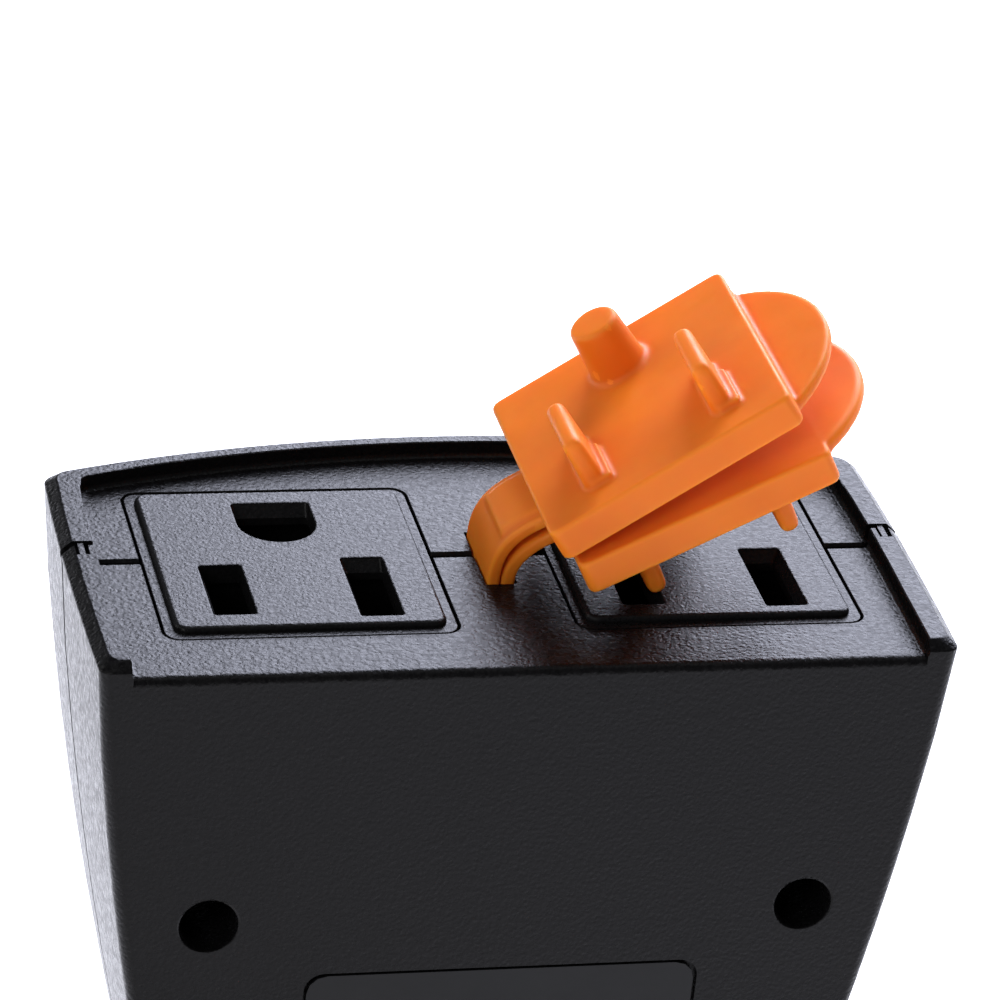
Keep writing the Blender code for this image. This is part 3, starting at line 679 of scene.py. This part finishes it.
def add_front_details(shell):
    cut(shell, *(turned("hole", [(-5, SCREW_HOLE_RADIUS), (12, SCREW_HOLE_RADIUS)], (x, z), sides=24)
                 for x, z, _ in case_screw_places()))
    posts, bores = [], []
    for side in (-1, 1):
        x, z = side * BOARD_SCREW[0], BOARD_SCREW[1]
        foot, wall = BOARD_FRONT_Y + 0.3, front_at(abs(x), z) - 1.2
        posts.append(turned("post", [(foot, BOARD_POST), (wall, BOARD_POST)], (x, z), sides=32))
        bores.append(turned("bore", [(0, BOARD_BORE), (10, BOARD_BORE)], (x, z), sides=24))
    join(shell, *posts)
    button_face, light_face = front_y(BUTTON_Z), front_y(LIGHT_Z)
    button_flare, light_flare = BUTTON_HOLE + 0.4, LIGHT_HOLE + 0.25
    button_hole = [(10, BUTTON_HOLE), (button_face - 0.45, BUTTON_HOLE),
                   (button_face - 0.12, BUTTON_HOLE + 0.12), (button_face + 0.02, button_flare),
                   (30, button_flare)]
    light_hole = [(10, LIGHT_HOLE), (light_face - 0.3, LIGHT_HOLE), (light_face, light_flare),
                  (30, light_flare)]
    cut(shell, *bores, turned("button_hole", button_hole, (0, BUTTON_Z)),
        turned("light_hole", light_hole, (0, LIGHT_Z)))


# Outlets

def ground_outline(x, half, flat_y):
    """Round towards the blades, flat on the far side, with soft corners."""
    count = 18
    near = [(x + half * math.cos(a), GROUND_Y + half * math.sin(a))
            for a in (math.pi + math.pi * k / count for k in range(count + 1))]
    far = rounded([(x + half, GROUND_Y, 0), (x + half, flat_y, 0.4),
                   (x - half, flat_y, 0.4), (x - half, GROUND_Y, 0)], 4)[1:-1]
    return near + far


def blade_slot(x, side, long):
    """A blade opening, which narrows away from the middle and at its ends, with a soft brim."""
    face, brim = FLOOR_Z + FACE_HEIGHT, 0.14
    room = max(long - SLOT_HALF_LENGTH[0], 0.0)
    rings = []
    for z, outboard, ends in ((FLOOR_Z - 5, 0.55, room), (face - 1.15, 0.55, room),
                              (face - 0.2, 0.04, 0.02), (face - 0.06, 0, 0),
                              (face, -brim, -brim), (face + 1, -brim, -brim)):
        outer = SLOT_HALF_WIDTH - outboard
        inner = SLOT_HALF_WIDTH + (brim if outboard < 0 else 0)
        across = (x - inner, x + outer) if side > 0 else (x - outer, x + inner)
        outline = rectangle(across, (BLADE_Y - long + ends, BLADE_Y + long - ends), 0.3, 3)
        rings.append([(px, py, z) for px, py in outline])
    return loft("slot", rings)


def ground_opening(x, side):
    """The ground opening, tapered like the blade openings."""
    face, brim = FLOOR_Z + FACE_HEIGHT, 0.14
    rings = []
    for z, narrow in ((FLOOR_Z - 5, 0.8), (face - 1.15, 0.8), (face - 0.2, 0.05),
                      (face - 0.06, 0), (face, -brim), (face + 1, -brim)):
        half = GROUND_HALF_WIDTH - min(narrow, 0)
        outline = ground_outline(x, half, GROUND_FLAT_Y - narrow)
        if narrow > 0:
            limit = x + side * (GROUND_HALF_WIDTH - narrow * 0.6)
            trim = min if side > 0 else max
            outline = [(trim(px, limit), py) for px, py in outline]
        rings.append([(px, py, z) for px, py in outline])
    return loft("ground", rings)


def make_insert(side):
    name = "outlet_insert_left" if side < 0 else "outlet_insert_right"
    x = side * OUTLET_X
    half = INSERT_HALF_WIDTH - INSERT_GAP
    y = (INSERT_Y[0] + INSERT_GAP, INSERT_Y[1] - INSERT_GAP)
    face, edge = FLOOR_Z + FACE_HEIGHT, FLOOR_Z - 0.04

    def slab(label, levels, radius):
        rings = []
        for z, inset in levels:
            outline = rectangle((x - half + inset, x + half - inset), (y[0] + inset, y[1] - inset),
                                max(radius - inset, 0.3))
            rings.append([(px, py, z) for px, py in outline])
        return loft(label, rings)

    insert = slab(f"{name}_look", ((FLOOR_Z - 16, 0), (edge - 0.1, 0), (edge - 0.03, 0.02),
                                   (edge, 0.09)), 1.3)
    soft = 0.45
    step = 0.85 + soft
    rounding = [(face - soft + up, step - across) for up, across in quarter(soft)]
    join(insert, slab("face", [(FLOOR_Z - 1, 0.85), *rounding], 2.0),
         box("lip", (x - 13.9, -14.9, FLOOR_Z - 5.1), (x + 13.9, 10.5, FLOOR_Z - 2.8)))
    deep, under = FLOOR_Z - 20, face - FACE_PLATE
    tools = []
    for away, long in zip((-1, 1), SLOT_HALF_LENGTH):
        slot_x = x + away * BLADE_X
        tools.append(blade_slot(slot_x, side, long))
        tools.append(box("pocket", (slot_x - 3.0, BLADE_Y - 5.7, deep),
                         (slot_x + 3.0, BLADE_Y + 5.6, under)))
    tools.append(ground_opening(x, side))
    tools.append(box("ground_pocket", (x - 5, 0.4, deep), (x + 5, 10.9, under)))
    cut(insert, *tools)
    crisp(paint(insert, "insert_black"))
    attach(insert, "housing")
    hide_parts(name)


# Silicone caps, modelled closed: x away from the strap, y towards the ground pin, z up

VOXEL = 0.2


def tab_outline(inset=0.0):
    reach, half = TAB_REACH - inset, TAB_HALF_WIDTH - inset
    radius = (half * half + reach * reach) / (2 * reach)
    middle = sum(CAP_Y) / 2
    swing = math.asin(half / radius)
    arc = [(CAP_HALF_LENGTH + reach - radius + radius * math.cos(a), middle + radius * math.sin(a))
           for a in (-swing + 2 * swing * k / 32 for k in range(33))]
    return arc + [(CAP_HALF_LENGTH - 2, middle + half), (CAP_HALF_LENGTH - 2, middle - half)]


def stacked(name, levels):
    """A solid through flat outlines, given with their heights."""
    return loft(name, [[(px, py, z) for px, py in outline] for z, outline in levels])


def blade_pin(x):
    """A tapered blade with a rounded tip."""
    levels = []
    for z, half_x, half_y, radius in (
            (0.8, 1.0, 4.15, 0.7), (-0.32, 0.99, 4.12, 0.7), (-PIN_LENGTH + 0.75, 0.87, 3.95, 0.7),
            (-PIN_LENGTH + 0.28, 0.74, 3.76, 0.6), (-PIN_LENGTH, 0.42, 3.4, 0.35)):
        levels.append((z, rectangle((x - half_x, x + half_x), (-half_y, half_y), radius, 4)))
    return stacked("blade", levels)


def ground_pin():
    """A tapered round pin with a fillet at its root."""
    y = GROUND_Y - BLADE_Y
    levels = ((0.6, 3.3), (0.05, 3.3), (-0.1, 2.9), (-0.22, 2.65), (-0.9, 2.58),
              (-PIN_LENGTH - 0.05, 2.28), (-PIN_LENGTH - 0.25, 2.14), (-PIN_LENGTH - 0.35, 1.9))
    return stacked("ground", [(z, circle(y, radius)) for z, radius in levels])


def circle(centre_y, radius, sides=48):
    return [(radius * math.cos(a), centre_y + radius * math.sin(a))
            for a in (math.tau * k / sides for k in range(sides))]


def cap_matrix(side, joint):
    """From the closed cap to the cap at rest, opened about its joint."""
    pole = Vector(joint["pos_m"]) / MM
    pole.y = 0.0
    angle = math.radians(joint["range_deg"][1])
    turn = Matrix.Rotation(-side * angle, 4, "Y")
    mirror = Matrix.Diagonal((side, 1, 1, 1))
    closed = Matrix.Translation((side * CAP_CLOSED_X, BLADE_Y, CAP_CLOSED_Z)) @ mirror
    matrix = (Matrix.Translation(pole) @ turn @ Matrix.Translation(-pole)) @ closed
    matrix.translation *= MM
    return matrix


def cap_block(name):
    x, top = CAP_HALF_LENGTH, CAP_THICKNESS

    def plan(inset, radius):
        return rectangle((-x + inset, x - inset), (CAP_Y[0] + inset, CAP_Y[1] - inset), radius)

    return stacked(name, ((0.0, plan(0.12, 0.8)), (0.12, plan(0.0, 0.9)),
                          (top - 0.14, plan(0.0, 0.9)), (top, plan(0.14, 0.8))))


def cap_tab():
    top = CAP_THICKNESS
    return stacked("tab", ((top - LAYER, tab_outline(0.1)), (top - LAYER + 0.12, tab_outline(0.0)),
                           (top - 0.35, tab_outline(0.0)), (top - 0.02, tab_outline(0.28))))


def make_cap(side):
    name = "cap_left" if side < 0 else "cap_right"
    body = "left_cap" if side < 0 else "right_cap"
    cap = cap_block(f"{name}_look")
    pieces = [cap_tab()]
    for x in (-BLADE_X, BLADE_X):
        shoulder = rectangle((x - 0.6, x + 1.65), (-4.3, 1.6), 0.35, 3)
        pieces += [blade_pin(x), stacked("shoulder", ((-0.62, shoulder), (0.6, shoulder)))]
    join(cap, *pieces, ground_pin())
    remesh = cap.modifiers.new("remesh", "REMESH")
    remesh.mode = "VOXEL"
    remesh.voxel_size = VOXEL * MM
    smooth = cap.modifiers.new("smooth", "SMOOTH")
    smooth.factor = 0.5
    smooth.iterations = 5
    bake(cap)
    matrix = cap_matrix(side, JOINTS[f"{body}_hinge"])
    cap.data.transform(matrix)
    if matrix.determinant() < 0:
        cap.data.flip_normals()
    cap.data.shade_smooth()
    paint(cap, "orange_silicone")
    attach(cap, body)
    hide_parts(name)


# Straps: x and height above the floor of each path's control points

LEFT_PATH = ((-0.58, -0.2), (-0.78, 3.4), (0.6, 5.1), (2.94, 6.65))
RIGHT_PATH = ((0.72, -0.2), (0.57, 2.25), (2.2, 4.2), (4.55, 5.41))


def bezier(points, t):
    a, b, c, d = (Vector(p) for p in points)
    s = 1 - t
    return a * s ** 3 + b * 3 * s * s * t + c * 3 * s * t * t + d * t ** 3


def ease(value):
    value = min(max(value, 0.0), 1.0)
    return value * value * (3 - 2 * value)


def strap_line(path):
    """Points along the strap's middle, each with its share of the bend: root, bend and foot."""
    steps = 30
    line = [(Vector((path[0][0], -9.0 + 0.55 * k)), 0.0) for k in range(16)]
    line += [(bezier(path, k / steps), k / steps) for k in range(steps + 1)]
    tangent = (line[-1][0] - line[-2][0]).normalized()
    return line + [(line[-1][0] + tangent * 0.35 * k, 1.0) for k in (1, 2)]


def strap_rings(path, thickness, pad):
    """Cross sections of a band with rounded edges and a raised pad towards the cap."""
    line = strap_line(path)
    across, edge_round = 26, 0.42
    rings = []
    for i, (spot, t) in enumerate(line):
        ahead, back = line[min(i + 1, len(line) - 1)][0], line[max(i - 1, 0)][0]
        normal = Vector((-(ahead - back).y, (ahead - back).x)).normalized()
        lean = STRAP_LEAN * t
        low, high = STRAP_Y[0] + lean, STRAP_Y[1] + lean
        outer, inner = [], []
        for j in range(across + 1):
            u = 0.5 - 0.5 * math.cos(math.pi * j / across)
            y = low + (high - low) * u
            margin = min(y - low, high - y)
            edge = math.sqrt(max(1 - (1 - min(margin / edge_round, 1.0)) ** 2, 0.0))
            half = thickness / 2 * (0.35 + 0.65 * edge)
            raised = pad * ease((t - 0.5) / 0.06) * ease((margin - 0.95) / 0.3)
            out = spot + normal * (half + raised)
            inn = spot - normal * half
            outer.append((out.x, y, FLOOR_Z + out.y))
            inner.append((inn.x, y, FLOOR_Z + inn.y))
        rings.append(outer + inner[::-1])
    return rings


def make_strap(side):
    if side < 0:
        name, body, path, thickness, pad = "strap_left", "left_cap", LEFT_PATH, 1.15, 0.34
    else:
        name, body, path, thickness, pad = "strap_right", "right_cap", RIGHT_PATH, 1.2, 0.0
    strap = loft(f"{name}_look", strap_rings(path, thickness, pad))
    paint(strap, "orange_silicone")
    strap.data.shade_smooth()
    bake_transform(strap)
    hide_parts(name)


# Small parts

def make_button():
    """A plunger with a flange inside and a rounded, slightly dished face."""
    face = front_y(BUTTON_Z) + 0.7
    soft, radius = 0.55, 5.0
    profile = [(13.5, 6.2), (14.7, 6.2), (14.7, radius), (face - soft, radius)]
    profile += [(face - soft + along, radius - soft + out) for along, out in quarter(soft)[1:]]
    profile += [(face - 0.05, 4.1), (face - 0.16, 3.4), (face - 0.26, 2.4), (face - 0.32, 1.2),
                (face - 0.33, 0.3)]
    button = turned("power_button_look", profile, (0, BUTTON_Z))
    crisp(paint(button, "dark_plastic"))
    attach(button, "button")
    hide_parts("power_button")


def make_light_pipe():
    """A clear rod with a collar inside and a domed end."""
    face = front_y(LIGHT_Z) + 0.15
    soft, radius, collar = 0.4, 1.5, 2.6
    profile = [(5.2, 1.3), (5.3, radius), (14.8, radius), (14.8, collar), (16.4, collar),
               (16.4, radius), (face - soft, radius)]
    profile += [(face - soft + soft * math.sin(a), 0.2 + 1.3 * math.cos(a))
                for a in (math.radians(15 * k) for k in range(1, 7))]
    pipe = turned("light_pipe_look", profile, (0, LIGHT_Z), sides=40)
    crisp(paint(pipe, "lens_clear"))
    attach(pipe, "housing")
    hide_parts("light_pipe")


def make_gland():
    """A rubber bush: a flange behind the wall, soft lips and three grooves in the bore."""
    outside, flange, bore, groove = 4.7, 6.6, 3.22, 3.4
    outer = [(0.45, 4.4), (0.75, outside), (2.8, outside), (2.8, 6.4), (3.0, flange),
             (4.8, flange), (5.0, 6.4), (5.0, outside), (11.6, outside), (12.0, 4.4)]
    inner = [(12.0, 3.5), (11.7, 3.25), (9.0, bore), (8.5, groove), (8.0, bore), (6.4, bore),
             (5.9, groove), (5.4, bore), (3.8, bore), (3.3, groove), (2.8, bore), (0.75, 3.25),
             (0.3, 3.6), (0.3, 4.2)]
    gland = turned("cord_gland_look", outer + inner, (0, 0), "Z", hollow=True)
    crisp(paint(gland, "black_rubber"))
    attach(gland, "housing")
    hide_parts("cord_gland")


make_shells()
for outlet_side in (-1, 1):
    make_insert(outlet_side)
    make_cap(outlet_side)
    make_strap(outlet_side)
make_button()
make_light_pipe()
make_gland()


# CAD nodes that stay get their finish

KEPT = {
    "black_rubber": ("seam_gasket_left", "seam_gasket_right"),
    "ivory_plastic": ("contact_carrier", "terminal_block", "line_fuse"),
    "brass": ("ground_bus", "neutral_bus", "line_contact_left", "line_contact_right"),
    "board_green": ("circuit_board",),
    "zinc_steel": ("board_screw_left", "board_screw_right", "radio_module", "clamp_screw_left",
                   "clamp_screw_right", "case_screw_upper_left", "case_screw_upper_right",
                   "case_screw_lower_left", "case_screw_lower_right"),
    "relay_blue": ("relay_left", "relay_right"),
    "dark_plastic": ("transformer", "smoothing_capacitor", "tact_switch", "cord_clamp", "strap_anchor"),
    "lens_clear": ("status_led",),
    "label_film": ("rating_label",),
    "wire_black": ("wire_line",),
    "wire_white": ("wire_neutral",),
    "wire_green": ("wire_ground",),
}
for slot_name, node_names in KEPT.items():
    for node_name in node_names:
        paint(frame["nodes"][node_name], slot_name)


# Stage and light

def make_floor():
    bm = bmesh.new()
    size, gap = 4.0, 0.00005
    corners = ((-size, -size), (size, -size), (size, size), (-size, size))
    bm.faces.new([bm.verts.new((x, y, cad_low.z - gap)) for x, y in corners])
    floor = publish(bm, "floor", 1.0)
    roughness = 0.55
    made = Surface("floor_white", (0.86, 0.86, 0.87), roughness).mottle(3.0, 0.01)
    made.set(Roughness=roughness, Emission_Color=(1.0, 0.985, 1.0, 1.0), Emission_Strength=0.78)
    floor.data.materials.append(made.material)


def soft_box(name, place, aim, size, power, colour=(1.0, 1.0, 1.0)):
    data = bpy.data.lights.new(name, "AREA")
    data.shape = "RECTANGLE"
    data.size, data.size_y = size
    data.energy = power
    data.color = colour
    lamp = bpy.data.objects.new(name, data)
    scene.collection.objects.link(lamp)
    direction = Vector(aim) - Vector(place)
    lamp.location = place
    lamp.rotation_euler = direction.to_track_quat("-Z", "Y").to_euler()


make_floor()
soft_box("softbox_back", (0.48, 0.78, 0.70), (0, 0.05, 0.1), (0.95, 0.9), 30.0, (0.80, 0.83, 1.0))
soft_box("softbox_left", (-0.95, 0.35, 0.55), (0, 0, 0.08), (0.7, 0.7), 2.6)
soft_box("softbox_front", (-0.62, -0.75, 0.62), (0, 0, 0.1), (0.5, 0.5), 3.0)
soft_box("softbox_top", (0.05, -0.15, 1.3), (0, 0, 0.1), (0.9, 0.7), 1.4)

world = bpy.data.worlds.new("studio")
world.use_nodes = True
background = world.node_tree.nodes["Background"]
background.inputs["Color"].default_value = (0.75, 0.78, 0.82, 1.0)
background.inputs["Strength"].default_value = 0.20
scene.world = world
scene.view_settings.view_transform = "Standard"
